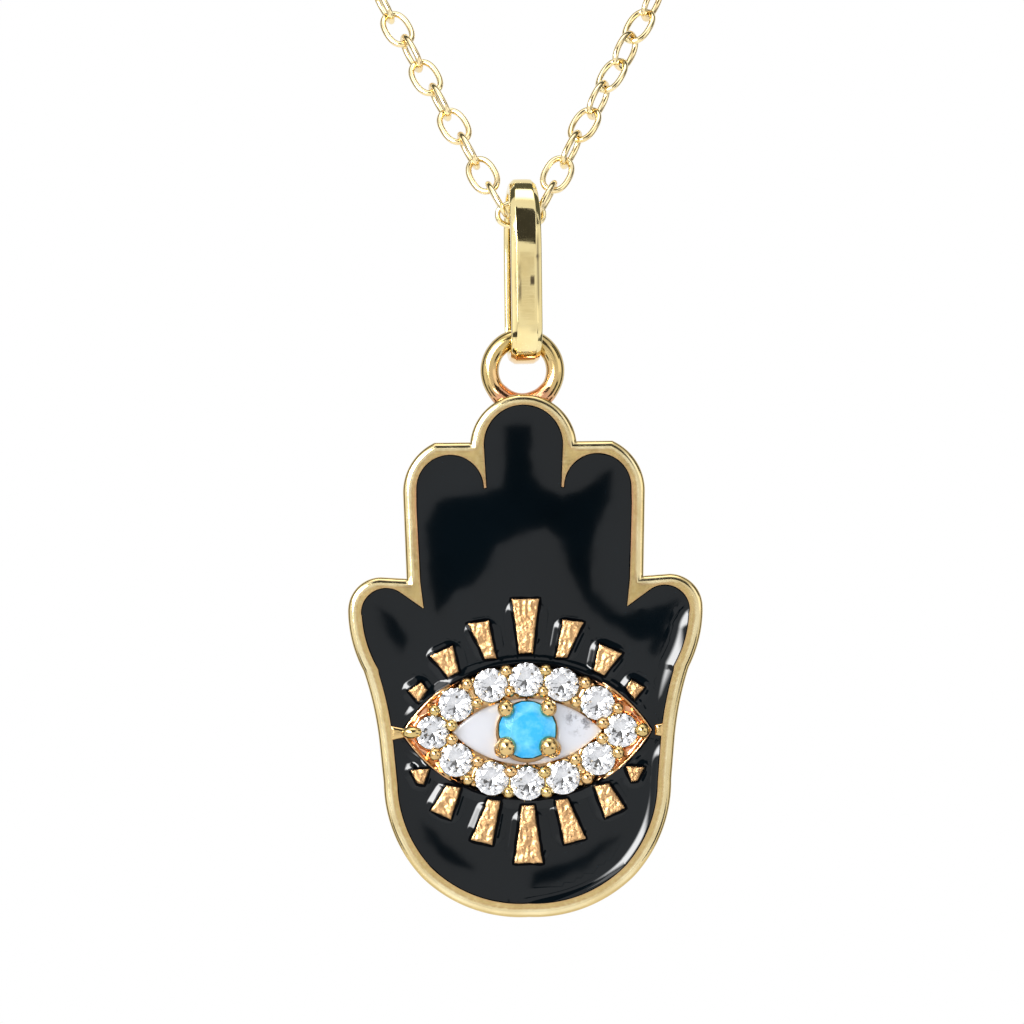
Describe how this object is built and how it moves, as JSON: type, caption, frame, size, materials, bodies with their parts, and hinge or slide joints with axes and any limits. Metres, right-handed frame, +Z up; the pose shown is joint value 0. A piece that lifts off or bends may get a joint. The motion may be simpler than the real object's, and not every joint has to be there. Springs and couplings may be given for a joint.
{
  "type": "hamsa pendant on a cable chain",
  "caption": "Small gold hand pendant with dark enamel, a stone-set eye, a soldered ring and a long flat bail, on a fine cable chain closed by a plain barrel clasp.",
  "frame": {"origin": "the nape: where the inside of the clasp rests on the back of the neck", "axes": "+Z up, +X to the right as seen from the front, -Y the way the front of the hand faces"},
  "size_m": [0.113, 0.0943, 0.187],
  "materials": {
    "gold": "polished yellow gold plate, with coppery hollows and fine scratches",
    "chain_gold": "polished yellow gold plate on fine wire",
    "black_enamel": "glossy black enamel, level with the rim",
    "white_enamel": "glossy white enamel with a faint grey stain",
    "clear_stone": "round brilliant cut, clear",
    "blue_stone": "round brilliant cut, milky opal blue"
  },
  "bodies": {
    "chain": {"chain_front": "chain_gold", "chain_back": "chain_gold", "clasp": "chain_gold"},
    "bail": {"bail": "gold"},
    "hand": {"hand": "gold", "enamel_upper": "black_enamel", "enamel_lower": "black_enamel", "enamel_white_left": "white_enamel", "enamel_white_right": "white_enamel", "stone_01": "clear_stone", "stone_02": "clear_stone", "stone_03": "clear_stone", "stone_04": "clear_stone", "stone_05": "clear_stone", "stone_06": "clear_stone", "stone_07": "clear_stone", "stone_08": "clear_stone", "stone_09": "clear_stone", "stone_10": "clear_stone", "stone_11": "clear_stone", "stone_12": "clear_stone", "centre_stone": "blue_stone"}
  },
  "joints": [
    {"name": "bail_swing", "type": "hinge", "parent": "chain", "child": "bail", "pos_m": [0, -0.09088, -0.15809], "axis": [1, 0, 0], "range_deg": [-60, 60]},
    {"name": "hand_swing", "type": "hinge", "parent": "bail", "child": "hand", "pos_m": [0, -0.09088, -0.16378], "axis": [0, 1, 0], "range_deg": [-60, 60]}
  ]
}
